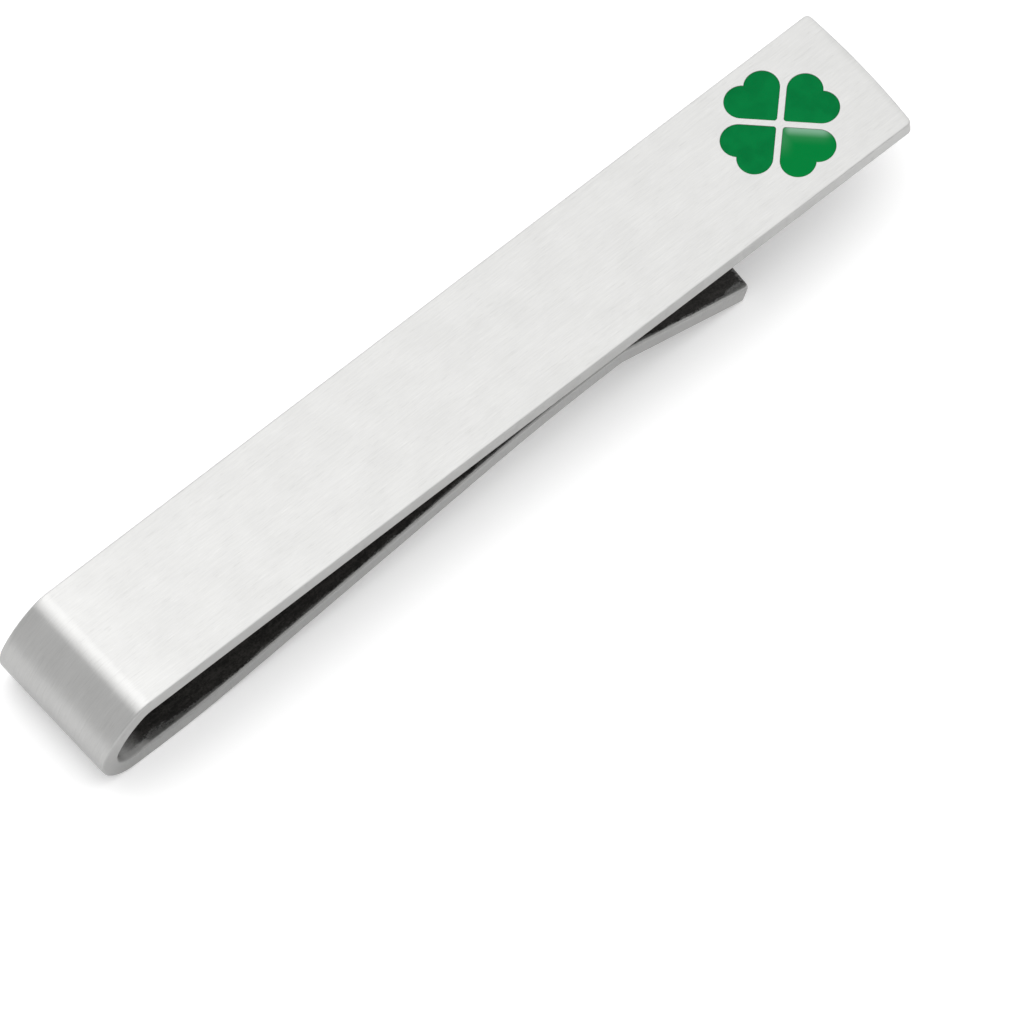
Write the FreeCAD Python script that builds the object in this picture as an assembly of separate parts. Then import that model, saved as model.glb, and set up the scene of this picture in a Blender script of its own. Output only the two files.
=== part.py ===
import FreeCAD, Part
import math
import os

# Tie bar: a spring strip folded into a clip, with a four-leaf clover in enamel.
# Millimetres. +X runs to the free end, +Z is the front face's side, the clip lies on Z = 0.

# Strip stock
strip_width = 8.0
strip_thickness = 1.0
outer_edge_round = 0.1
tie_edge_round = 0.14

# Both free ends of the strip are cut a little bowed, with rounded corners
end_bow = 0.17
end_corner_round = 0.3

# Overall size, from the outside of the fold to the free end, and from the floor to the front face
overall_length = 52.2
overall_height = 5.25

# Fold: four tangent bends, each with the radius on the tie's side and the angle it turns, in degrees
shoulder_inside_radius = 1.1
shoulder_angle = 29.0
end_wall_angle = 31.0
hairpin_inside_radius = 1.0
hairpin_angle = 117.0
belly_inside_radius = 34.0

# Knuckle seam in the hairpin, where the leg turns when the fold flexes
seam_radius = 0.9
seam_clearance = 0.02
seam_place_share = 0.5

# Spring leg: it climbs to the bar, levels out over the crown and presses with the land
leg_slope = 8.0
crown_outside_radius = 56.0
land_length = 0.4
pinch_clearance = 0.05

# Lead-in lip, which flares from the land down to the floor
lip_angle = 22.1
lip_outside_radius = 0.15

# Clover: four hearts around one centre, each a square with two half-round lobes
clover_from_free_end = 5.15
clover_off_centre = 0.2
leaf_side = 1.8
leaf_spacing = 0.35
leaf_tip_round = 0.14
recess_depth = 0.4
enamel_below_face = 0.03
enamel_wall_clearance = 0.01

# One overrun for every cutter
cut_overrun = 1.0

# Working tolerance for finding edges by place
find_tolerance = 1e-4

# Sizes that follow from the ones above
half_width = strip_width / 2
half_thickness = strip_thickness / 2
end_bow_radius = (half_width ** 2 + end_bow ** 2) / (2 * end_bow)
shoulder_radius = shoulder_inside_radius + half_thickness
hairpin_radius = hairpin_inside_radius + half_thickness
belly_radius = belly_inside_radius + half_thickness
crown_radius = crown_outside_radius + half_thickness
lip_radius = lip_outside_radius + half_thickness
wall_end_angle = shoulder_angle + end_wall_angle
hairpin_end_angle = wall_end_angle + hairpin_angle
belly_angle = 180.0 + leg_slope - hairpin_end_angle


def sin_of(angle):
    return math.sin(math.radians(angle))


def cos_of(angle):
    return math.cos(math.radians(angle))


def bend_drop(radius, from_angle, to_angle):
    """How far a bend carries the strip down, between two angles turned since the flat bar."""
    return radius * (cos_of(from_angle) - cos_of(to_angle))


def bend_reach(radius, from_angle, to_angle):
    """How far the same bend carries the strip outwards, towards -X."""
    return radius * (sin_of(to_angle) - sin_of(from_angle))


# The end wall's radius closes the height: the belly just touches the floor
drop_left_for_wall = (overall_height - strip_thickness
                      - bend_drop(shoulder_radius, 0, shoulder_angle)
                      - bend_drop(hairpin_radius, wall_end_angle, hairpin_end_angle)
                      - bend_drop(belly_radius, hairpin_end_angle, 180.0))
end_wall_radius = drop_left_for_wall / bend_drop(1.0, shoulder_angle, wall_end_angle)

# The bend line lies this far from the outside of the fold
fold_overhang = (bend_reach(shoulder_radius, 0, shoulder_angle)
                 + bend_reach(end_wall_radius, shoulder_angle, wall_end_angle)
                 + bend_reach(hairpin_radius, wall_end_angle, 90.0)
                 + half_thickness)
free_end_x = overall_length / 2
bend_line_x = fold_overhang - overall_length / 2

# The leg's straight run closes the pinch: the land lies under the bar with its clearance
land_height = overall_height - strip_thickness - pinch_clearance - half_thickness
curved_rise = (belly_radius + crown_radius) * (1.0 - cos_of(leg_slope))
leg_run = (land_height - half_thickness - curved_rise) / sin_of(leg_slope)

# The lip's run brings its rounded tip down to the floor beside the belly
tip_lift = outer_edge_round * (cos_of(lip_angle) + sin_of(lip_angle) - 1.0)
lip_end_height = half_thickness * cos_of(lip_angle) - tip_lift
lip_drop = land_height - lip_end_height - lip_radius * (1.0 - cos_of(lip_angle))
lip_run = lip_drop / sin_of(lip_angle)


class StripPath:
    """Walks along the strip's mid-line and lays its two faces' edges in the plane Y = 0.

    The heading is in degrees in the XZ plane; the tie's side is on the left of the walk.
    """

    def __init__(self, x, z, heading):
        self.x = x
        self.z = z
        self.heading = heading
        self.tie_edges = []
        self.outer_edges = []

    def face_point(self, side):
        """The point on the tie's side (+1) or the outer side (-1) of the strip here."""
        reach = side * half_thickness
        return FreeCAD.Vector(self.x - reach * sin_of(self.heading), 0,
                              self.z + reach * cos_of(self.heading))

    def step(self, distance):
        self.x += distance * cos_of(self.heading)
        self.z += distance * sin_of(self.heading)

    def turn(self, radius, angle):
        """Moves round a bend: a positive angle turns towards the tie's side."""
        chord = 2.0 * radius * abs(sin_of(angle / 2))
        self.heading += angle / 2
        self.step(chord)
        self.heading += angle / 2

    def run(self, distance):
        tie_start = self.face_point(1)
        outer_start = self.face_point(-1)
        self.step(distance)
        self.tie_edges.append(Part.LineSegment(tie_start, self.face_point(1)).toShape())
        self.outer_edges.append(Part.LineSegment(outer_start, self.face_point(-1)).toShape())
        return self

    def bend(self, radius, angle):
        tie_points = [self.face_point(1)]
        outer_points = [self.face_point(-1)]
        for _ in range(2):
            self.turn(radius, angle / 2)
            tie_points.append(self.face_point(1))
            outer_points.append(self.face_point(-1))
        self.tie_edges.append(Part.Arc(*tie_points).toShape())
        self.outer_edges.append(Part.Arc(*outer_points).toShape())
        return self

    def onward(self):
        """A new path that starts where this one ends."""
        return StripPath(self.x, self.z, self.heading)

    def mid_point(self, distance=0):
        """The point on the mid-line here, or that far ahead."""
        return FreeCAD.Vector(self.x + distance * cos_of(self.heading), 0,
                              self.z + distance * sin_of(self.heading))


def lies_on(edge, laid_edges):
    """True where an edge of the solid is one of the laid edges, moved sideways to the strip's rim."""
    middle = edge.valueAt((edge.FirstParameter + edge.LastParameter) / 2)
    if abs(abs(middle.y) - half_width) > find_tolerance:
        return False
    spot = Part.Vertex(FreeCAD.Vector(middle.x, 0, middle.z))
    return min(spot.distToShape(laid)[0] for laid in laid_edges) < find_tolerance


def strip_section(path):
    """A length of strip along a laid path, square at both ends and sharp on its long edges."""
    start_cap = Part.LineSegment(path.tie_edges[0].firstVertex().Point,
                                 path.outer_edges[0].firstVertex().Point).toShape()
    end_cap = Part.LineSegment(path.tie_edges[-1].lastVertex().Point,
                               path.outer_edges[-1].lastVertex().Point).toShape()
    edges = path.tie_edges + path.outer_edges + [start_cap, end_cap]
    outline = Part.Wire(Part.__sortEdges__(edges))
    blank = Part.Face(outline).extrude(FreeCAD.Vector(0, strip_width, 0))
    blank.translate(FreeCAD.Vector(0, -half_width, 0))
    return blank


def rounded_section(path):
    """A length of strip with its long edges rounded: a little outside, more on the tie's side."""
    section = strip_section(path)
    for laid_edges, radius in ((path.outer_edges, outer_edge_round), (path.tie_edges, tie_edge_round)):
        long_edges = [edge for edge in section.Edges if lies_on(edge, laid_edges)]
        section = section.makeFillet(radius, long_edges)
    return section


def edges_on_plane(shape, point, normal):
    """The edges whose ends and middle all lie on a plane."""
    found = []
    for edge in shape.Edges:
        spots = [vertex.Point for vertex in edge.Vertexes]
        spots.append(edge.valueAt((edge.FirstParameter + edge.LastParameter) / 2))
        if all(abs((spot - point).dot(normal)) < find_tolerance for spot in spots):
            found.append(edge)
    return found


def tipped_section(path, tip, heading, way_out):
    """A length of strip with a free end: the end is bowed, its corners are rounded, then both faces' rims.

    The path reaches past the tip. The heading is the walk's heading there, and the way out is 1 where the
    walk ends at the tip and -1 where it starts.
    """
    ahead = FreeCAD.Vector(cos_of(heading), 0, sin_of(heading))
    to_tie = FreeCAD.Vector(-ahead.z, 0, ahead.x)
    outward = ahead * way_out
    bow_base = tip - outward * end_bow_radius - to_tie * (half_thickness + cut_overrun)
    bow_disc = Part.makeCylinder(end_bow_radius, strip_thickness + 2 * cut_overrun, bow_base, to_tie)
    bow_disc.rotate(bow_base, to_tie, 90.0)
    section = strip_section(path).common(bow_disc)

    corners = []
    for edge in edges_on_plane(section, tip - outward * end_bow, outward):
        ends = [vertex.Point for vertex in edge.Vertexes]
        if abs(ends[0].y - ends[1].y) < find_tolerance:
            corners.append(edge)
    section = section.makeFillet(end_corner_round, corners)

    for side, laid_edges, radius in ((-1, path.outer_edges, outer_edge_round),
                                     (1, path.tie_edges, tie_edge_round)):
        rim = [edge for edge in section.Edges if lies_on(edge, laid_edges)]
        face_spot = tip + to_tie * (side * half_thickness)
        for edge in edges_on_plane(section, face_spot, to_tie):
            middle = edge.valueAt((edge.FirstParameter + edge.LastParameter) / 2)
            near_tip = (tip - middle).dot(outward) < end_bow + end_corner_round
            if near_tip and not any(edge.isSame(other) for other in rim):
                rim.append(edge)
        section = section.makeFillet(radius, rim)
    return section


def heart_solid(side, inset, tip_round, depth):
    """A heart with its tip at the origin and its axis along +X, standing on Z = 0.

    The inset draws the whole outline in from the drawn heart of that side.
    """
    lobe_radius = side / 2 - inset
    cusp_step = (side - math.sqrt(side * side - 8.0 * inset * (side - inset))) / 4
    tip = FreeCAD.Vector(inset, inset, 0)
    right_corner = FreeCAD.Vector(side, inset, 0)
    left_corner = FreeCAD.Vector(inset, side, 0)
    cusp = FreeCAD.Vector(side - cusp_step, side - cusp_step, 0)
    right_top = FreeCAD.Vector(side + lobe_radius, side / 2, 0)
    left_top = FreeCAD.Vector(side / 2, side + lobe_radius, 0)
    outline = Part.Wire([
        Part.LineSegment(tip, right_corner).toShape(),
        Part.Arc(right_corner, right_top, cusp).toShape(),
        Part.Arc(cusp, left_top, left_corner).toShape(),
        Part.LineSegment(left_corner, tip).toShape(),
    ])
    heart = Part.Face(outline).extrude(FreeCAD.Vector(0, 0, depth))
    tip_edges = []
    for edge in heart.Edges:
        ends = [vertex.Point for vertex in edge.Vertexes]
        if all(math.hypot(end.x - inset, end.y - inset) < find_tolerance for end in ends):
            tip_edges.append(edge)
    heart = heart.makeFillet(tip_round, tip_edges)
    heart.translate(FreeCAD.Vector(leaf_spacing / 2, leaf_spacing / 2, 0))
    heart.rotate(FreeCAD.Vector(0, 0, 0), FreeCAD.Vector(0, 0, 1), -45.0)
    return heart


def placed_leaf(heart, turn, floor_height):
    """A heart turned about the clover's centre and set at its place on the bar."""
    leaf = heart.copy()
    leaf.rotate(FreeCAD.Vector(0, 0, 0), FreeCAD.Vector(0, 0, 1), turn)
    leaf.translate(FreeCAD.Vector(free_end_x - clover_from_free_end, clover_off_centre, floor_height))
    return leaf


def seam_cylinder(radius, axis_point):
    base = FreeCAD.Vector(axis_point.x, -half_width - cut_overrun, axis_point.z)
    return Part.makeCylinder(radius, strip_width + 2 * cut_overrun, base, FreeCAD.Vector(0, 1, 0))


# Which way each leaf points
leaf_turns = {
    "enamel_leaf_free_end": 0.0,
    "enamel_leaf_far_side": 90.0,
    "enamel_leaf_fold_end": 180.0,
    "enamel_leaf_near_side": 270.0,
}


def make_front_bar():
    """The flat front, from the bend line to the free end, with its four heart recesses."""
    bar_path = StripPath(free_end_x + cut_overrun, overall_height - half_thickness, 180.0)
    tip = bar_path.mid_point(cut_overrun)
    bar_path.run(free_end_x + cut_overrun - bend_line_x)
    bar = tipped_section(bar_path, tip, bar_path.heading, -1)
    cutter = heart_solid(leaf_side, 0, leaf_tip_round, recess_depth + cut_overrun)
    for turn in leaf_turns.values():
        bar = bar.cut(placed_leaf(cutter, turn, overall_height - recess_depth))
    return bar


def make_enamel_leaves():
    """The fills, each set into its recess and a little below the face."""
    fill_height = recess_depth - enamel_below_face
    fill_tip_round = leaf_tip_round - enamel_wall_clearance
    fill = heart_solid(leaf_side, enamel_wall_clearance, fill_tip_round, fill_height)
    return {name: placed_leaf(fill, turn, overall_height - recess_depth)
            for name, turn in leaf_turns.items()}


def make_strip_back():
    """The fold, the leg and the lip, walked in one go so that every section meets the next."""
    shoulder_path = StripPath(bend_line_x, overall_height - half_thickness, 180.0)
    shoulder_path.bend(shoulder_radius, shoulder_angle)
    shoulder_path.bend(end_wall_radius, end_wall_angle)
    shoulder_path.bend(hairpin_radius, hairpin_angle * seam_place_share)
    flex_axis = shoulder_path.mid_point()

    heel_path = shoulder_path.onward()
    heel_path.bend(hairpin_radius, hairpin_angle * (1.0 - seam_place_share))
    heel_path.bend(belly_radius, belly_angle)

    leg_path = heel_path.onward()
    leg_path.run(leg_run)
    leg_path.bend(crown_radius, -leg_slope)
    leg_path.run(land_length)

    lip_path = leg_path.onward()
    lip_path.bend(lip_radius, -lip_angle)
    lip_path.run(lip_run + cut_overrun)
    lip_tip = lip_path.mid_point(-cut_overrun)

    shoulder_strip = rounded_section(shoulder_path)
    heel_strip = rounded_section(heel_path)
    knuckle = heel_strip.common(seam_cylinder(seam_radius - seam_clearance, flex_axis))

    return {
        "fold_shoulder": shoulder_strip.fuse(knuckle).removeSplitter(),
        "fold_heel": heel_strip.cut(seam_cylinder(seam_radius, flex_axis)),
        "spring_leg": rounded_section(leg_path),
        "lead_in_lip": tipped_section(lip_path, lip_tip, lip_path.heading, 1),
    }


def main():
    nodes = {"front_bar": make_front_bar()}
    nodes.update(make_strip_back())
    nodes.update(make_enamel_leaves())
    os.makedirs("parts", exist_ok=True)
    for name, shape in nodes.items():
        shape.exportStep("parts/" + name + ".step")


main()
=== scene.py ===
import math

import bmesh
import bpy
from mathutils import Matrix, Vector


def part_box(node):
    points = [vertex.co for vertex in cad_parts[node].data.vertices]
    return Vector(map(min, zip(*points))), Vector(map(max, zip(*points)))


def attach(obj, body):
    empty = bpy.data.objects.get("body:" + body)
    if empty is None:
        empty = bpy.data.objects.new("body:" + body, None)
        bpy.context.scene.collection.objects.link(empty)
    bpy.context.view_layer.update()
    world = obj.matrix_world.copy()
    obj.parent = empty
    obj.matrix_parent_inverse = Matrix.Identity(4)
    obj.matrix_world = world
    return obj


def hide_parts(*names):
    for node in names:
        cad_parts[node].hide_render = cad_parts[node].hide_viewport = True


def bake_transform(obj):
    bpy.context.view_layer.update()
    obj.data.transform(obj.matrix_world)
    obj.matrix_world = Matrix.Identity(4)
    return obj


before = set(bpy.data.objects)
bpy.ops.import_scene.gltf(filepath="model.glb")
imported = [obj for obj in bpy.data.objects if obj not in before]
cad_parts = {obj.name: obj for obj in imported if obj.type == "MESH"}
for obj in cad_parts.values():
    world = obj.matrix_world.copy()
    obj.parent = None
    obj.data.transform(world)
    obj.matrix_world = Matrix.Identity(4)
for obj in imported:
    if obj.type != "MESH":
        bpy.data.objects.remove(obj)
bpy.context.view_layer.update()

# Working lengths are millimetres, and a vertex is written in metres
MM = 0.001

# What the frame gives: the flat bar's reach, its front face and the strip's stock size
bar_low, bar_high = [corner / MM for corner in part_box("front_bar")]
bend_line_x = bar_low.x
free_end_x = bar_high.x
face_height = bar_high.z
strip_thickness = bar_high.z - bar_low.z
strip_width = bar_high.y - bar_low.y
bar_length = free_end_x - bend_line_x
half_width = strip_width / 2
half_thickness = strip_thickness / 2

# Roundings of the strip's edges, and its two free ends, each a little bowed with rounded corners
outer_edge_round = 0.1
tie_edge_round = 0.14
end_bow = 0.17
end_corner_round = 0.3

# Fold: four tangent bends, each with the radius on the tie's side and the angle it turns, in degrees
shoulder_inside_radius = 1.1
shoulder_angle = 29.0
end_wall_angle = 31.0
hairpin_inside_radius = 1.0
hairpin_angle = 117.0
belly_inside_radius = 34.0

# Leg and lip
leg_slope = 8.0
crown_outside_radius = 56.0
land_length = 0.4
pinch_clearance = 0.05
lip_angle = 22.1
lip_outside_radius = 0.15

# Clover: its leaves' size, the depth and the softened rim of each recess, and the gap round its enamel
leaf_side = 1.8
leaf_spacing = 0.35
leaf_tip_round = 0.14
recess_depth = 0.4
recess_rim_round = 0.04
enamel_wall_gap = 0.004

# The enamel's dish from the wall to the middle: inset, depth below the face, share of the outline kept round
# a middle that lies at this share of the leaf's side
enamel_dish = ((enamel_wall_gap, 0.03, 1.0), (0.03, 0.035, 1.0), (0.08, 0.045, 1.0), (0.12, 0.052, 0.96),
               (0.12, 0.058, 0.88), (0.12, 0.062, 0.76), (0.12, 0.064, 0.6), (0.12, 0.065, 0.4))
leaf_middle_share = 0.6

# Mesh fineness: degrees to a facet of a bend, the distance of a support ring from a join, the longest plain step,
# the shortest span that gets rings of its own, and the steps of an edge's rounding, a corner, a leaf's lobe and a bow
facet_turn = 3.0
support = 0.05
longest_step = 2.0
shortest_span = 4 * support
round_steps = 5
corner_steps = 2 * round_steps
lobe_steps = 6 * round_steps
bow_steps = 8

# From the free end, the front face is filled round the recesses over this length
clover_zone_length = 10.0

# The across-the-grain direction leans this much through the strip, so that the cut sides have one too
grain_lean = 0.3

# The fold's mesh reaches this far onto the flat bar and onto the straight leg
fold_overlap = 1.5


def sin_of(angle):
    return math.sin(math.radians(angle))


def cos_of(angle):
    return math.cos(math.radians(angle))


class StripLine:
    """The strip's mid-line in the plane Y = 0, walked from the bar's free end to the lip's tip.

    A place on the strip is (s, y, n): along the walk, across the strip, and out of the mid-line
    towards the tie's side, which lies on the left of the walk.
    """

    def __init__(self, x, z, heading):
        self.end = (x, z, math.radians(heading))
        self.length = 0.0
        self.spans = []

    def run(self, name, length):
        self.add_span(name, length, 0.0)

    def bend(self, name, radius, angle):
        self.add_span(name, radius * abs(math.radians(angle)), math.radians(angle))

    def add_span(self, name, length, turn):
        span = {"name": name, "start": self.length, "length": length, "turn": turn, "from": self.end}
        self.spans.append(span)
        self.end = self.walk(span, length)
        self.length += length

    @staticmethod
    def walk(span, distance):
        x, z, heading = span["from"]
        if span["turn"] == 0:
            return x + distance * math.cos(heading), z + distance * math.sin(heading), heading
        radius = span["length"] / span["turn"]
        ahead = heading + distance / radius
        x += radius * (math.sin(ahead) - math.sin(heading))
        z -= radius * (math.cos(ahead) - math.cos(heading))
        return x, z, ahead

    def start_of(self, name):
        return next(span["start"] for span in self.spans if span["name"] == name)

    def middle_of(self, name):
        return next(span["start"] + span["length"] / 2 for span in self.spans if span["name"] == name)

    def at(self, s):
        span = [span for span in self.spans if span["start"] <= s][-1]
        return self.walk(span, s - span["start"])

    def point(self, s, y, n):
        x, z, heading = self.at(s)
        return Vector((x - n * math.sin(heading), y, z + n * math.cos(heading))) * MM

    def stations(self, start, end):
        """Where the strip gets a ring: close together in bends, and on both sides of every join."""
        marks = {start, end}
        for span in self.spans:
            low = max(start, span["start"])
            high = min(end, span["start"] + span["length"])
            if high - low < shortest_span:
                continue
            inner = high - low - 2 * support
            turn = abs(math.degrees(span["turn"])) * (high - low) / span["length"]
            steps = max(math.ceil(turn / facet_turn), math.ceil(inner / longest_step))
            marks.update((low, high))
            marks.update(low + support + inner * step / steps for step in range(steps + 1))
        return sorted(marks)


def bend_drop(radius, from_angle, to_angle):
    """How far a bend carries the strip down, between two angles turned since the flat bar."""
    return radius * (cos_of(from_angle) - cos_of(to_angle))


def strip_line():
    """The whole strip: the bar, the four bends of the fold, the leg with its crown, and the lip."""
    shoulder_radius = shoulder_inside_radius + half_thickness
    hairpin_radius = hairpin_inside_radius + half_thickness
    belly_radius = belly_inside_radius + half_thickness
    crown_radius = crown_outside_radius + half_thickness
    lip_radius = lip_outside_radius + half_thickness
    wall_end_angle = shoulder_angle + end_wall_angle
    hairpin_end_angle = wall_end_angle + hairpin_angle

    # The end wall's radius brings the belly to the floor
    wall_drop = (face_height - strip_thickness
                 - bend_drop(shoulder_radius, 0, shoulder_angle)
                 - bend_drop(hairpin_radius, wall_end_angle, hairpin_end_angle)
                 - bend_drop(belly_radius, hairpin_end_angle, 180.0))
    end_wall_radius = wall_drop / bend_drop(1.0, shoulder_angle, wall_end_angle)

    # The leg's run brings the land under the bar, and the lip's run brings its tip to the floor
    land_height = face_height - strip_thickness - pinch_clearance - half_thickness
    curved_rise = (belly_radius + crown_radius) * (1.0 - cos_of(leg_slope))
    leg_run = (land_height - half_thickness - curved_rise) / sin_of(leg_slope)
    tip_lift = outer_edge_round * (cos_of(lip_angle) + sin_of(lip_angle) - 1.0)
    lip_end_height = half_thickness * cos_of(lip_angle) - tip_lift
    lip_drop = land_height - lip_end_height - lip_radius * (1.0 - cos_of(lip_angle))

    line = StripLine(free_end_x, face_height - half_thickness, 180.0)
    line.run("bar", bar_length)
    line.bend("shoulder", shoulder_radius, shoulder_angle)
    line.bend("end wall", end_wall_radius, end_wall_angle)
    line.bend("hairpin", hairpin_radius, hairpin_angle)
    line.bend("belly", belly_radius, 180.0 + leg_slope - hairpin_end_angle)
    line.run("leg", leg_run)
    line.bend("crown", crown_radius, -leg_slope)
    line.run("land", land_length)
    line.bend("lip bend", lip_radius, -lip_angle)
    line.run("lip", lip_drop / sin_of(lip_angle))
    return line


line = strip_line()
bend_line_s = line.start_of("shoulder")
hairpin_s = line.middle_of("hairpin")
leg_run_s = line.start_of("leg")
lip_crease_s = line.middle_of("lip bend")
bar_seam_s = bend_line_s - fold_overlap
leg_seam_s = leg_run_s + fold_overlap


def rim_profile():
    """The strip's rim from the outer face to the tie's face, as (inset from the edge, n)."""
    quarter = [90.0 * step / round_steps for step in range(round_steps + 1)]
    rim = [(outer_edge_round + support, -half_thickness)]
    rim += [(outer_edge_round * (1 - sin_of(a)), outer_edge_round * (1 - cos_of(a)) - half_thickness)
            for a in quarter]
    rim.append((0.0, outer_edge_round + support - half_thickness))
    rim.append((0.0, half_thickness - tie_edge_round - support))
    rim += [(tie_edge_round * (1 - cos_of(a)), half_thickness - tie_edge_round * (1 - sin_of(a)))
            for a in quarter]
    rim.append((tie_edge_round + support, half_thickness))
    return rim


rim = rim_profile()


def plain_ring(s):
    return [(s, half_width - inset, n) for inset, n in rim]


# The circle of an end's bow, and the rounded corner inside it: its turn off the strip's axis and its depth
bow_radius = (half_width ** 2 + end_bow ** 2) / (2 * end_bow)
corner_y = half_width - end_corner_round
corner_turn = math.degrees(math.asin(corner_y / (bow_radius - end_corner_round)))
end_depth = bow_radius - (bow_radius - end_corner_round) * cos_of(corner_turn)


def tip_rings(tip_s, inward):
    """Rings round a free end, from near the middle of its bow over the corner to the straight sides."""
    rings = []
    for step in range(1, bow_steps + 1):
        turn = corner_turn * step / bow_steps
        ring = []
        for inset, n in rim:
            reach = bow_radius - inset
            ring.append((tip_s + inward * (bow_radius - reach * cos_of(turn)), reach * sin_of(turn), n))
        rings.append(ring)
    for step in range(1, corner_steps + 1):
        turn = corner_turn + (90.0 - corner_turn) * step / corner_steps
        ring = []
        for inset, n in rim:
            reach = end_corner_round - inset
            ring.append((tip_s + inward * (end_depth - reach * cos_of(turn)), corner_y + reach * sin_of(turn), n))
        rings.append(ring)
    return rings


def new_object(name, data):
    thing = bpy.data.objects.new(name, data)
    bpy.context.scene.collection.objects.link(thing)
    return thing


class StripMesh:
    """A length of the strip as one closed mesh; every vertex also holds its place on the strip."""

    def __init__(self, name):
        self.name = name
        self.bm = bmesh.new()
        self.place = self.bm.verts.layers.float_vector.new("strip_place")
        self.grain = self.bm.verts.layers.float_vector.new("across_grain")

    def vertex(self, s, y, n):
        vertex = self.bm.verts.new(line.point(s, y, n))
        vertex[self.place] = (s, y, n)
        heading = line.at(s)[2]
        along = Vector((math.cos(heading), 0, math.sin(heading)))
        through = Vector((-math.sin(heading), 0, math.cos(heading)))
        on_leg = s > (leg_run_s + bend_line_s) / 2
        vertex[self.grain] = (along if on_leg else Vector((0, 1, 0))) + through * grain_lean
        return vertex

    def sweep(self, rings, open_face=lambda s: False):
        """Skins the rings, leaving out the outer face where open_face says so.

        A seam's ring is flat and gets one flat cap; a tip's ring runs on over the rounded end.
        """
        near = [[self.vertex(s, -y, n) for s, y, n in ring] for ring in rings]
        far = [[self.vertex(s, y, n) for s, y, n in ring] for ring in rings]
        face = self.bm.faces.new
        for j in range(len(rings) - 1):
            for k in range(len(rim) - 1):
                face((near[j][k], near[j + 1][k], near[j + 1][k + 1], near[j][k + 1]))
                face((far[j][k], far[j][k + 1], far[j + 1][k + 1], far[j + 1][k]))
            if not open_face(rings[j + 1][0][0]):
                face((near[j][0], far[j][0], far[j + 1][0], near[j + 1][0]))
            face((near[j][-1], near[j + 1][-1], far[j + 1][-1], far[j][-1]))
        for j in (0, -1):
            if rings[j][0][0] == rings[j][-1][0]:
                face(near[j] + far[j][::-1])
                continue
            for k in range(len(rim) - 1):
                face((near[j][k], near[j][k + 1], far[j][k + 1], far[j][k]))
        return near, far

    def loop(self, points):
        return [self.vertex(*point) for point in points]

    def bridge(self, first, second):
        for j in range(len(first)):
            i = j - 1
            self.bm.faces.new((first[i], first[j], second[j], second[i]))

    def loop_edges(self, loop):
        edges = []
        for j in range(len(loop)):
            pair = (loop[j - 1], loop[j])
            edges.append(self.bm.edges.get(pair) or self.bm.edges.new(pair))
        return edges

    def fill(self, edges):
        bmesh.ops.triangle_fill(self.bm, edges=edges, use_beauty=True, use_dissolve=False)

    def finish(self, material, flat_rings=()):
        """Turns the faces outwards, keeps the seams' caps sharp and makes the object."""
        bmesh.ops.recalc_face_normals(self.bm, faces=self.bm.faces)
        for face in self.bm.faces:
            face.smooth = True
        for near, far in flat_rings:
            for edge in self.loop_edges(near + far[::-1]):
                edge.smooth = False
        mesh = bpy.data.meshes.new(self.name)
        self.bm.to_mesh(mesh)
        self.bm.free()
        mesh.materials.append(material)
        return new_object(self.name, mesh)


# Leaves: each node's turn about the clover's centre, in degrees
leaf_turns = {
    "enamel_leaf_free_end": 0.0,
    "enamel_leaf_far_side": 90.0,
    "enamel_leaf_fold_end": 180.0,
    "enamel_leaf_near_side": 270.0,
}


def clover_centre():
    """The middle of the box round all four leaves, as (s, y)."""
    boxes = [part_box(node) for node in leaf_turns]
    low_x = min(box[0].x for box in boxes) / MM
    high_x = max(box[1].x for box in boxes) / MM
    low_y = min(box[0].y for box in boxes) / MM
    high_y = max(box[1].y for box in boxes) / MM
    return free_end_x - (low_x + high_x) / 2, (low_y + high_y) / 2


clover_s, clover_y = clover_centre()


def heart_outline(inset, kept):
    """One leaf's outline in its own plane, its tip towards the centre and its axis along +X.

    It is half a heart from the tip to the cusp, and its mirror image across the axis. The share kept
    draws it in towards the leaf's middle.
    """
    tip_radius = leaf_tip_round - inset
    lobe_radius = leaf_side / 2 - inset
    cusp = leaf_side - (leaf_side - math.sqrt(leaf_side ** 2 - 8 * inset * (leaf_side - inset))) / 4
    cusp_angle = math.degrees(math.atan2(cusp - leaf_side / 2, cusp - leaf_side))
    half = []
    for step in range(round_steps + 1):
        angle = 225.0 + 45.0 * step / round_steps
        half.append((leaf_tip_round + tip_radius * cos_of(angle), leaf_tip_round + tip_radius * sin_of(angle)))
    for step in range(1, round_steps):
        share = step / round_steps
        half.append((leaf_tip_round + (leaf_side - leaf_tip_round) * share, inset))
    for step in range(lobe_steps + 1):
        angle = -90.0 + (cusp_angle + 90.0) * step / lobe_steps
        half.append((leaf_side + lobe_radius * cos_of(angle), leaf_side / 2 + lobe_radius * sin_of(angle)))
    middle = leaf_side * leaf_middle_share
    half = [(middle + (x - middle) * kept, middle + (y - middle) * kept) for x, y in half]
    whole = half + [(y, x) for x, y in half[-2:0:-1]]
    root = math.sqrt(2)
    return [((x + y + leaf_spacing) / root, (y - x) / root) for x, y in whole]


def leaf_loop(turn, inset, depth, kept=1.0):
    """The outline of the leaf that points that way, as places on the strip, below the front face."""
    places = []
    for x, y in heart_outline(inset, kept):
        across_x = x * cos_of(turn) - y * sin_of(turn)
        across_y = x * sin_of(turn) + y * cos_of(turn)
        places.append((clover_s - across_x, clover_y + across_y, depth - half_thickness))
    return places


def recess_rings(turn):
    """A recess from the flat face over its softened rim and down the wall to its floor."""
    rings = [leaf_loop(turn, -recess_rim_round - support, 0.0)]
    for step in range(round_steps + 1):
        angle = 90.0 * step / round_steps
        inset = -recess_rim_round * (1 - sin_of(angle))
        rings.append(leaf_loop(turn, inset, recess_rim_round * (1 - cos_of(angle))))
    rings.append(leaf_loop(turn, 0.0, recess_depth))
    return rings


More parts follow.
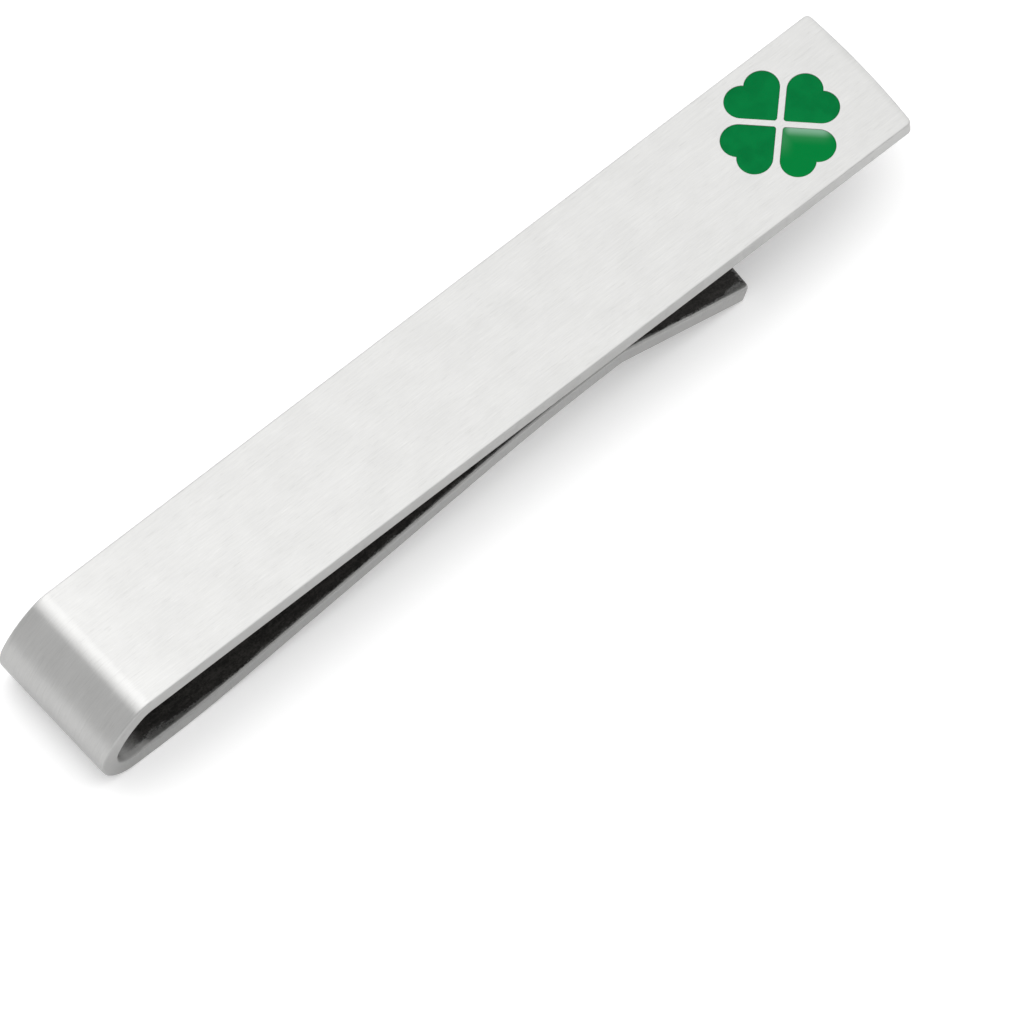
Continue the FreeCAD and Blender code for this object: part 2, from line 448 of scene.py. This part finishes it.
def make_bar(material):
    """The flat front with its four recesses, from the free end to the seam short of the bend line."""
    mesh = StripMesh("bar_strip")
    rings = tip_rings(0.0, 1.0)
    rings += [plain_ring(s) for s in line.stations(end_depth, bar_seam_s)[1:]]
    zone = [j for j, ring in enumerate(rings) if ring[0][0] <= clover_zone_length]
    near, far = mesh.sweep(rings, lambda s: s <= clover_zone_length)
    border = [near[j][0] for j in zone] + [far[j][0] for j in reversed(zone)]
    edges = mesh.loop_edges(border)
    for turn in leaf_turns.values():
        loops = [mesh.loop(places) for places in recess_rings(turn)]
        for first, second in zip(loops, loops[1:]):
            mesh.bridge(first, second)
        mesh.fill(mesh.loop_edges(loops[-1]))
        edges += mesh.loop_edges(loops[0])
    mesh.fill(edges)
    bar = mesh.finish(material, [(near[-1], far[-1])])
    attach(bar, "front")
    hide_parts("front_bar")
    return bar


def make_fold(material):
    """The fold with a little of the bar and of the leg."""
    mesh = StripMesh("fold_strip")
    near, far = mesh.sweep([plain_ring(s) for s in line.stations(bar_seam_s, leg_seam_s)])
    fold = mesh.finish(material, [(near[0], far[0]), (near[-1], far[-1])])
    leg_level = line.at(leg_seam_s)[1] + half_thickness
    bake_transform(fold)
    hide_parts("fold_shoulder", "fold_heel")
    return fold


def make_leg(material):
    """The straight leg, its crown and land, and the lip with its rounded tip."""
    mesh = StripMesh("leg_strip")
    rings = [plain_ring(s) for s in line.stations(leg_seam_s, line.length - end_depth)[:-1]]
    rings += tip_rings(line.length, -1.0)[::-1]
    near, far = mesh.sweep(rings)
    leg = mesh.finish(material, [(near[0], far[0])])
    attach(leg, "leg")
    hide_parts("spring_leg", "lead_in_lip")
    return leg


def make_leaves(material):
    """The enamel fills, each dished a little below the face and climbing to its wall."""
    for node, turn in leaf_turns.items():
        mesh = StripMesh(node.replace("enamel_leaf", "enamel_fill"))
        loops = [mesh.loop(leaf_loop(turn, enamel_wall_gap, recess_depth))]
        loops += [mesh.loop(leaf_loop(turn, *ring)) for ring in enamel_dish]
        for first, second in zip(loops, loops[1:]):
            mesh.bridge(first, second)
        mesh.fill(mesh.loop_edges(loops[0]))
        mesh.fill(mesh.loop_edges(loops[-1]))
        leaf = mesh.finish(material, [(loops[0], []), (loops[1], [])])
        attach(leaf, "front")
        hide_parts(node)


class Nodes:
    """Short calls for building a material's node tree."""

    def __init__(self, tree):
        self.tree = tree
        tree.nodes.clear()

    def add(self, kind, **settings):
        node = self.tree.nodes.new(kind)
        for name, value in settings.items():
            setattr(node, name, value)
        return node

    def link(self, output, target):
        self.tree.links.new(output, target)

    def put(self, target, value):
        """Sets an input to a plain value, or links it to an output."""
        if isinstance(value, bpy.types.NodeSocket):
            self.link(value, target)
        else:
            target.default_value = value

    def math(self, operation, *values):
        node = self.add("ShaderNodeMath", operation=operation)
        for target, value in zip(node.inputs, values):
            self.put(target, value)
        return node.outputs[0]

    def chain(self, operation, first, *others):
        """One operation over any number of values."""
        for value in others:
            first = self.math(operation, first, value)
        return first

    def times(self, *values):
        return self.chain("MULTIPLY", *values)

    def most(self, *values):
        return self.chain("MAXIMUM", *values)

    def distance(self, value, mark):
        return self.math("ABSOLUTE", self.math("SUBTRACT", value, mark))

    def ramp(self, value, low, high, to_low=0.0, to_high=1.0, smooth=True):
        """A value from low to high, as to_low to to_high, held at both ends."""
        node = self.add("ShaderNodeMapRange", clamp=True)
        node.interpolation_type = "SMOOTHSTEP" if smooth else "LINEAR"
        for target, number in zip(node.inputs, (value, low, high, to_low, to_high)):
            self.put(target, number)
        return node.outputs[0]

    def blend(self, share, first, second):
        """One number from two."""
        node = self.add("ShaderNodeMix", data_type="FLOAT")
        for target, value in zip([node.inputs[0], node.inputs[2], node.inputs[3]], (share, first, second)):
            self.put(target, value)
        return node.outputs[0]

    def mix(self, share, first, second):
        node = self.add("ShaderNodeMix", data_type="RGBA")
        for target, value in zip([node.inputs[0], node.inputs[6], node.inputs[7]], (share, first, second)):
            self.put(target, value)
        return node.outputs[2]

    def vector(self, x, y, z):
        node = self.add("ShaderNodeCombineXYZ")
        for target, value in zip(node.inputs, (x, y, z)):
            self.put(target, value)
        return node.outputs[0]

    def noise(self, place, scale, detail=2.0, roughness=0.5):
        node = self.add("ShaderNodeTexNoise")
        for name, value in (("Vector", place), ("Scale", scale), ("Detail", detail), ("Roughness", roughness)):
            self.put(node.inputs[name], value)
        return node.outputs[0]

    def bump(self, height, depth):
        """A relief that deep, in millimetres, from a height between 0 and 1."""
        node = self.add("ShaderNodeBump")
        self.put(node.inputs["Distance"], depth * MM)
        self.link(height, node.inputs["Height"])
        return node.outputs[0]

    def surface(self, shader, output="ShaderNodeOutputMaterial"):
        self.link(shader.outputs[0], self.add(output).inputs["Surface"])


def new_material(name):
    material = bpy.data.materials.new(name)
    material.use_nodes = True
    return material, Nodes(material.node_tree)


def strip_place(nodes):
    """A shading point's place on the strip, as one vector and as its s, y and n."""
    place = nodes.add("ShaderNodeAttribute", attribute_name="strip_place").outputs["Vector"]
    split = nodes.add("ShaderNodeSeparateXYZ")
    nodes.link(place, split.inputs[0])
    return place, split.outputs


# Where most of a noise's values lie, and where the dark and the light scratches are among theirs
usual_noise = (0.3, 0.7)
wide_noise = (0.25, 0.75)
dark_scratch = (0.62, 0.75)
light_scratch = (0.25, 0.36)

# Noise cells to the millimetre: along and across a streak, a scratch and a scuff, and in a speckle and a cloud
streak_cells = (0.7, 13.0)
scratch_cells = (1.6, 20.0)
scuff_cells = (1.1, 4.0)
speckle_cells = 9.0
cloud_cells = 0.6

# The bare steel's tone in its streaks, its tint, and the shares of that tone that other places have: the cloud's and
# the scratches' are the steel's own, the others are painted light and shade
streak_tones = (0.502, 0.594)
steel_tint = (1.0, 0.998, 0.985)
cloud_tones = (0.982, 1.018)
dark_scratch_tone = 0.93
light_scratch_tone = 1.05
# Painted shade: the end wall's lower part and the leg are darker
leg_shade_tone = 0.87
# Painted shade on the cut sides, on the bar growing from near its free end
bar_side_shade_tone = 0.91
leg_side_shade_tone = 0.925
# Painted shade on the rims of the free end and of the lip's tip
tip_rim_shade_tone = 0.92
# Painted light: the lip is lighter towards its tip
lip_tip_light_tone = 1.16
# Painted highlight before the bend line, and painted shade just past it
bend_highlight_tone = 1.04
past_bend_shade_tone = 0.96
# Painted shade along the lip's crease on the outer face
crease_shade_tone = 0.66

# Oxide: its darkest and lightest colour on most of the tie's side, where the darkening further in is partly oxide and
# partly painted shade, and by the free end, and how much of it is left in the hairpin's bare patch, partly wear and
# partly painted light, which lies a little towards the leg
deep_oxide_and_shade = ((0.02, 0.0195, 0.0187, 1.0), (0.056, 0.0535, 0.05, 1.0))
open_oxide = ((0.06, 0.057, 0.054, 1.0), (0.12, 0.116, 0.11, 1.0))
hairpin_lit_oxide = 0.1
hairpin_wear_and_light_s = hairpin_s + 0.3

# Roughness of the brushed steel, of bare steel on the tie's side and of oxide, the gloss of the oxide and the
# pull of the brushing on reflections
brushed_roughness = (0.28, 0.36)
scuffed_roughness = 0.7
oxide_roughness = 0.5
oxide_gloss = 0.2
brushing_pull = 0.8

# Depth of the brushing's relief in millimetres, and the share of it that a scratch goes deeper
brushing_relief = 0.005
scratch_relief = 0.4

# Counted from its end, the lip's edge wears, and takes the tips' painted rim shade, as if it were this many times
# further in
lip_end_spread = 1.5


class SteelPlace:
    """What the steel's look goes by: the place on the strip, distances from its edges, and noises."""

    def __init__(self, nodes):
        self.nodes = nodes
        self.place, (self.s, self.y, self.n) = strip_place(nodes)
        self.from_side = nodes.math("SUBTRACT", half_width, nodes.math("ABSOLUTE", self.y))
        self.from_lip_tip = nodes.math("SUBTRACT", line.length, self.s)
        self.from_tips = nodes.math("MINIMUM", self.s, nodes.times(self.from_lip_tip, lip_end_spread))
        self.streak = self.brushed(streak_cells, 5.0, 0.75)
        self.scratch = self.brushed(scratch_cells, 1.0, 0.5)
        self.scuff = nodes.noise(self.stretched(*scuff_cells), 1.0, 5.0, 0.7)
        self.speckle = nodes.noise(self.place, speckle_cells, 3.0, 0.7)

    def stretched(self, cells_along, cells_across):
        times = self.nodes.times
        return self.nodes.vector(times(self.s, cells_along), times(self.y, cells_across), self.n)

    def brushed(self, cells, detail, roughness):
        """A noise drawn out along the strip on the front and across it on the leg."""
        along = self.nodes.noise(self.stretched(*cells), 1.0, detail, roughness)
        across = self.nodes.noise(self.stretched(*cells[::-1]), 1.0, detail, roughness)
        return self.nodes.blend(self.past_bend(4.0, 8.0), along, across)

    def past_bend(self, low, high, to_low=0.0, to_high=1.0):
        """A ramp between two distances past the bend line, along the strip."""
        return self.nodes.ramp(self.s, bend_line_s + low, bend_line_s + high, to_low, to_high)


def bare_colour(nodes, at):
    """Streaked and scratched, with painted light and shade: a painted highlight before the bend line, painted shade
    past it, on the leg, the cut sides, the tips' rims and the lip's crease, and a painted lighter lip tip.
    """
    # Painted shade on the cut sides
    side_shade_tone = nodes.times(nodes.ramp(at.s, 3.0, 20.0, 1.0, bar_side_shade_tone),
                            at.past_bend(3.0, 8.0, 1.0, leg_side_shade_tone))
    off_outer_face = nodes.ramp(at.n, -half_thickness, outer_edge_round - half_thickness)
    from_crease = nodes.math("ADD", nodes.distance(at.s, lip_crease_s), off_outer_face)
    cloud = nodes.noise(at.place, cloud_cells, 3.0)
    tone = nodes.times(
        nodes.ramp(at.streak, *wide_noise, *streak_tones, smooth=False),
        nodes.ramp(at.scratch, *dark_scratch, 1.0, dark_scratch_tone),
        nodes.ramp(at.scratch, *light_scratch, light_scratch_tone, 1.0),
        nodes.ramp(cloud, *usual_noise, *cloud_tones),
        nodes.ramp(at.from_side, 0.0, outer_edge_round, side_shade_tone, 1.0),
        nodes.ramp(at.from_tips, 0.1, 0.5, tip_rim_shade_tone, 1.0),
        nodes.ramp(at.from_lip_tip, 1.0, 9.0, lip_tip_light_tone, 1.0),
        nodes.ramp(from_crease, 0.02, 0.15, crease_shade_tone, 1.0),
        at.past_bend(-3.0, -0.2, 1.0, bend_highlight_tone),
        at.past_bend(0.0, 1.0, 1.0, past_bend_shade_tone),
        at.past_bend(2.0, 4.5, 1.0, leg_shade_tone))
    bright = nodes.add("ShaderNodeCombineColor")
    for target, share in zip(bright.inputs, steel_tint):
        nodes.put(target, nodes.times(tone, share))
    return bright.outputs[0]


def oxide_colour(nodes, at):
    """Dark and mottled, and lighter and more scuffed by the free end; the darkening away from the free end is partly
    oxide and partly painted shade.
    """
    mottle = nodes.ramp(nodes.blend(0.5, at.speckle, at.scuff), 0.4, 0.62)
    scuffed = nodes.ramp(at.scuff, *usual_noise)
    from_free_end = nodes.math("ADD", at.s, nodes.times(at.scuff, 4.0))
    return nodes.mix(nodes.ramp(from_free_end, 6.0, 12.5),
                     nodes.mix(scuffed, *open_oxide), nodes.mix(mottle, *deep_oxide_and_shade))


def oxide_left(nodes, at):
    """How much oxide is left: it is on the tie's side only, and rubbed off along its edges; in the hairpin it is also
    left off as painted light, bare steel standing for the light that falls in there.
    """
    from_hairpin_wear_and_light = nodes.distance(at.s, hairpin_wear_and_light_s)

    def eased(everywhere, free_end, lip_tip, lip_reach, hairpin):
        return nodes.most(nodes.ramp(at.s, 9.0, 14.0, free_end, everywhere),
                          nodes.ramp(at.from_lip_tip, *lip_reach, lip_tip, everywhere),
                          nodes.ramp(from_hairpin_wear_and_light, 2.0, 8.0, hairpin, everywhere))

    rub_width = eased(everywhere=0.16, free_end=0.4, lip_tip=0.3, lip_reach=(0.4, 2.2), hairpin=0.42)
    rub_fade = eased(everywhere=0.14, free_end=0.8, lip_tip=0.42, lip_reach=(0.6, 2.6), hairpin=0.3)
    unevenness = nodes.math("ADD", nodes.ramp(at.scuff, *usual_noise, -0.2, 0.9, smooth=False),
                            nodes.ramp(at.speckle, *usual_noise, 0.0, 0.5, smooth=False))
    from_edge = nodes.math("MINIMUM", at.from_side, at.from_tips)
    from_rub = nodes.math("SUBTRACT", from_edge, nodes.times(rub_width, unevenness))
    left_by_edge = nodes.ramp(from_rub, 0.0, rub_fade)
    # Painted light: bare steel in the hairpin stands for the light that falls in there
    left_by_hairpin_light = nodes.ramp(nodes.math("ADD", from_hairpin_wear_and_light, at.speckle), 1.2, 2.8, hairpin_lit_oxide, 1.0)
    return nodes.times(left_by_edge, left_by_hairpin_light, nodes.math("GREATER_THAN", at.n, 0.0))


def steel_material():
    """Satin steel: brushed along the front, across the leg, with a dark oxide left on the tie's side."""
    material, nodes = new_material("satin_steel")
    at = SteelPlace(nodes)
    oxide = oxide_left(nodes, at)
    on_tie_face = nodes.ramp(at.n, half_thickness - tie_edge_round, half_thickness)
    bare_roughness = nodes.blend(on_tie_face, nodes.ramp(at.streak, *usual_noise, *brushed_roughness),
                                 scuffed_roughness)
    relief = nodes.math("SUBTRACT", at.streak, nodes.times(nodes.ramp(at.scratch, *dark_scratch), scratch_relief))
    grain = nodes.add("ShaderNodeAttribute", attribute_name="across_grain")

    shader = nodes.add("ShaderNodeBsdfPrincipled")
    nodes.link(nodes.mix(oxide, bare_colour(nodes, at), oxide_colour(nodes, at)), shader.inputs["Base Color"])
    nodes.link(nodes.ramp(oxide, 0.3, 1.0, 1.0, 0.1), shader.inputs["Metallic"])
    nodes.link(nodes.blend(oxide, bare_roughness, oxide_roughness), shader.inputs["Roughness"])
    nodes.put(shader.inputs["Specular IOR Level"], oxide_gloss)
    nodes.put(shader.inputs["Anisotropic"], brushing_pull)
    nodes.link(grain.outputs["Vector"], shader.inputs["Tangent"])
    nodes.link(nodes.bump(relief, brushing_relief), shader.inputs["Normal"])
    nodes.surface(shader)
    return material


# Enamel: its darkest and lightest green, the near leaf's brighter green and the pale green of a painted highlight on
# that leaf
deep_green = ((0.0006, 0.145, 0.034, 1.0), (0.001, 0.17, 0.04, 1.0))
near_green = (0.0004, 0.181, 0.036, 1.0)
highlight_green = (0.3, 0.5, 0.38, 1.0)
enamel_cloud_cells = 1.2
enamel_relief = 0.02
enamel_roughness = (0.14, 0.2)
enamel_ior = 1.5
enamel_gloss = 0.02


def near_leaf(nodes, s, y):
    """Where the near leaf is, and where it gets a painted highlight: along the two edges that face other leaves."""
    forward = nodes.math("SUBTRACT", clover_s, s)
    sideways = nodes.math("SUBTRACT", y, clover_y)
    from_gap = nodes.math("DIVIDE", nodes.math("ADD", forward, sideways), -math.sqrt(2))
    along_gap = nodes.math("DIVIDE", nodes.math("SUBTRACT", forward, sideways), math.sqrt(2))
    on_near = nodes.times(nodes.math("GREATER_THAN", from_gap, 0.0), nodes.math("GREATER_THAN", along_gap, 0.0))
    edge = leaf_spacing / 2
    # Painted highlight: a pale band along the near leaf's edges that face other leaves
    strong_highlight = nodes.math("ADD", nodes.ramp(from_gap, edge, edge + 0.5, 0.55, 0.0),
                            nodes.ramp(from_gap, edge, edge + 0.95, 0.12, 0.0))
    strong_highlight = nodes.times(strong_highlight, nodes.ramp(along_gap, edge - 0.1, edge + 0.4),
                             nodes.ramp(along_gap, 2.1, 2.8, 1.0, 0.0))
    faint_highlight = nodes.times(nodes.ramp(along_gap, edge, edge + 0.7, 0.1, 0.0),
                            nodes.ramp(from_gap, 0.8, 2.0, 1.0, 0.0))
    return on_near, nodes.times(on_near, nodes.most(strong_highlight, faint_highlight))


def enamel_material():
    """Deep green enamel, a little uneven; the near leaf is a brighter green, with a painted highlight along its edges
    that face other leaves.
    """
    material, nodes = new_material("green_enamel")
    place, (s, y, _) = strip_place(nodes)
    cloud = nodes.noise(place, enamel_cloud_cells, 2.0)
    on_near, painted_highlight = near_leaf(nodes, s, y)
    green = nodes.mix(on_near, nodes.mix(nodes.ramp(cloud, *usual_noise), *deep_green), near_green)
    shader = nodes.add("ShaderNodeBsdfPrincipled")
    nodes.link(nodes.mix(painted_highlight, green, highlight_green), shader.inputs["Base Color"])
    nodes.link(nodes.ramp(cloud, *usual_noise, *enamel_roughness), shader.inputs["Roughness"])
    nodes.put(shader.inputs["IOR"], enamel_ior)
    nodes.put(shader.inputs["Specular IOR Level"], enamel_gloss)
    nodes.link(nodes.bump(cloud, enamel_relief), shader.inputs["Normal"])
    nodes.surface(shader)
    return material


# Floor: half its size in metres, the grey that it bounces on to the object, and its own faint light
floor_half_size = 2.0
floor_bounce = (0.82, 0.82, 0.82, 1.0)
floor_glow = 0.13
white = (1.0, 1.0, 1.0, 1.0)


def floor_material():
    """A white floor that keeps shadows: its own faint light brings the unshadowed floor to white."""
    material, nodes = new_material("white_floor")
    light_path = nodes.add("ShaderNodeLightPath").outputs
    camera = light_path["Is Camera Ray"]
    seen = nodes.most(camera, light_path["Is Glossy Ray"], light_path["Is Transmission Ray"])
    plain = nodes.add("ShaderNodeBsdfDiffuse")
    nodes.link(nodes.mix(camera, floor_bounce, white), plain.inputs["Color"])
    glow = nodes.add("ShaderNodeEmission")
    nodes.put(glow.inputs["Color"], white)
    nodes.link(nodes.times(seen, floor_glow), glow.inputs["Strength"])
    both = nodes.add("ShaderNodeAddShader")
    nodes.link(plain.outputs[0], both.inputs[0])
    nodes.link(glow.outputs[0], both.inputs[1])
    nodes.surface(both)
    return material


def make_floor():
    half = floor_half_size
    mesh = bpy.data.meshes.new("floor")
    mesh.from_pydata([(-half, -half, 0), (half, -half, 0), (half, half, 0), (-half, half, 0)], [], [(0, 1, 2, 3)])
    mesh.materials.append(floor_material())
    floor = new_object("floor", mesh)


# Light tent: which way its bright part lies, that part's edge as the cosine off that way, and the levels of
# the rest and of that part
tent_way = (0.4, 0.3, 0.86)
tent_edge = (0.46, 0.68)
tent_levels = (0.72, 1.44)


def make_world():
    """A soft white light tent: a broad bright part overhead that leans to the free end, in a dimmer rest."""
    world = bpy.data.worlds.new("studio")
    world.use_nodes = True
    bpy.context.scene.world = world
    nodes = Nodes(world.node_tree)
    way = nodes.add("ShaderNodeTexCoord")
    lean = nodes.add("ShaderNodeVectorMath", operation="DOT_PRODUCT")
    nodes.link(way.outputs["Generated"], lean.inputs[0])
    nodes.put(lean.inputs[1], Vector(tent_way).normalized())
    background = nodes.add("ShaderNodeBackground")
    nodes.put(background.inputs["Color"], white)
    nodes.link(nodes.ramp(lean.outputs["Value"], *tent_edge, *tent_levels), background.inputs["Strength"])
    nodes.surface(background, "ShaderNodeOutputWorld")


def make_lamp(name, way, distance, width, depth, power):
    """A soft box that looks at the object from that way; its width runs along the bar."""
    lamp = bpy.data.lights.new(name, "AREA")
    lamp.shape = "RECTANGLE"
    lamp.size = width
    lamp.size_y = depth
    lamp.energy = power
    holder = new_object(name, lamp)
    way = Vector(way).normalized()
    holder.location = way * distance
    holder.rotation_mode = "QUATERNION"
    holder.rotation_quaternion = way.to_track_quat("Z", "Y")


# The photograph's view, with its picture of 1024 by 1024 pixels: where a spot on the front face lies in it
picture_size = 1024
pixels_per_mm = 20.351
view_azimuth = -36.121
view_elevation = 63.106
view_roll = 4.3
spot_from_free_end = 23.938
spot_pixel = (490.283, 349.066)
camera_distance = 2.0
sensor_width = 36.0


def make_camera():
    """A long lens that looks as the photograph does, aimed at what lies in the picture's middle."""
    back = Vector((sin_of(view_azimuth) * cos_of(view_elevation),
                   -cos_of(view_azimuth) * cos_of(view_elevation),
                   sin_of(view_elevation)))
    level_right = Vector((0, 0, 1)).cross(back).normalized()
    level_down = level_right.cross(back)
    right = level_right * cos_of(view_roll) + level_down * sin_of(view_roll)
    down = level_down * cos_of(view_roll) - level_right * sin_of(view_roll)
    spot = Vector((free_end_x - spot_from_free_end, 0, face_height))
    middle = picture_size / 2
    aim = spot + (right * (middle - spot_pixel[0]) + down * (middle - spot_pixel[1])) / pixels_per_mm
    camera = bpy.data.cameras.new("camera")
    camera.sensor_width = sensor_width
    camera.lens = sensor_width * camera_distance / (picture_size / pixels_per_mm * MM)
    camera.clip_start = camera_distance / 10
    holder = new_object("camera", camera)
    turn = Matrix((right, -down, back)).transposed().to_4x4()
    holder.matrix_world = Matrix.Translation(aim * MM + back * camera_distance) @ turn
    bpy.context.scene.camera = holder


steel = steel_material()
for piece in (make_bar(steel), make_fold(steel), make_leg(steel)):
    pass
make_leaves(enamel_material())
make_floor()
make_world()
make_lamp("key", way=(0.025, 0.36, 0.93), distance=0.2, width=0.12, depth=0.08, power=0.006)
make_lamp("fold", way=(-0.12, 0.36, 0.92), distance=0.2, width=0.1, depth=0.1, power=0.014)
make_camera()
bpy.context.scene.view_settings.view_transform = "Standard"
